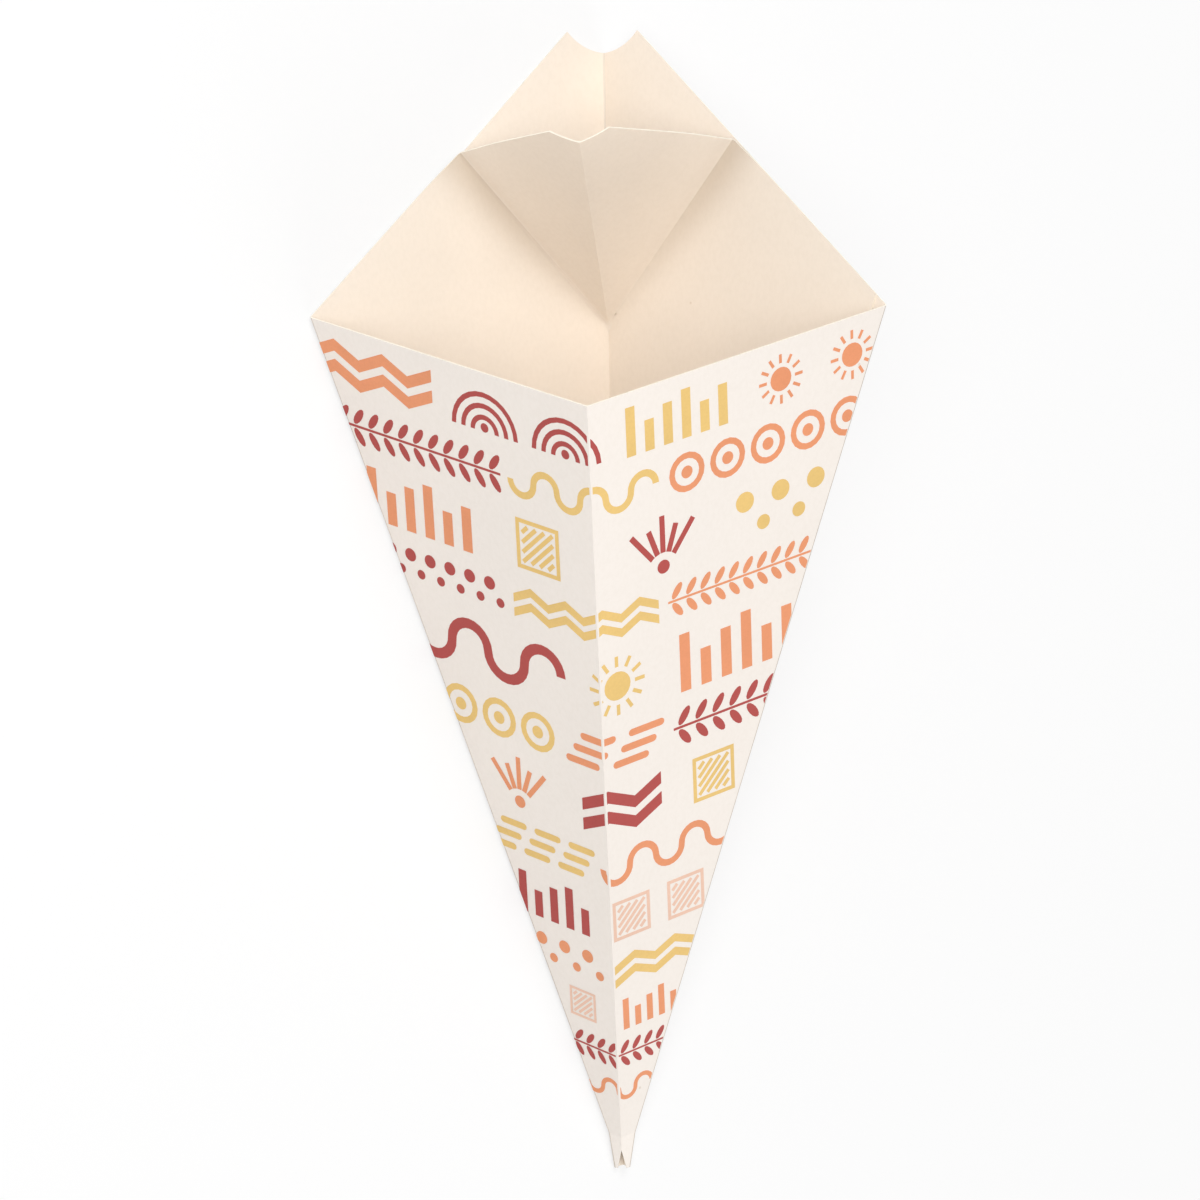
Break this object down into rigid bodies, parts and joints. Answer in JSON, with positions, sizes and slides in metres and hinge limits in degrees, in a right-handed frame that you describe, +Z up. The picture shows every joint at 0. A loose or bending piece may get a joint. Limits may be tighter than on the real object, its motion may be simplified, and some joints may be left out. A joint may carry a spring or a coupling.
{
  "type": "paper cone bag",
  "caption": "Folded card cone for chips with a straight front rim, a tall glued back with thumb notches and a sauce pocket pushed out of the back.",
  "frame": {"origin": "bottom centre of the box of the bag as it lies on the left half of its back", "axes": "+Z up, +Y from the tip towards the mouth, +X to the right seen from the tip"},
  "size_m": [0.1064, 0.2746, 0.082],
  "materials": {
    "printed_card": "matt"
  },
  "bodies": {
    "root": {"cone_bag": "printed_card"}
  },
  "joints": []
}
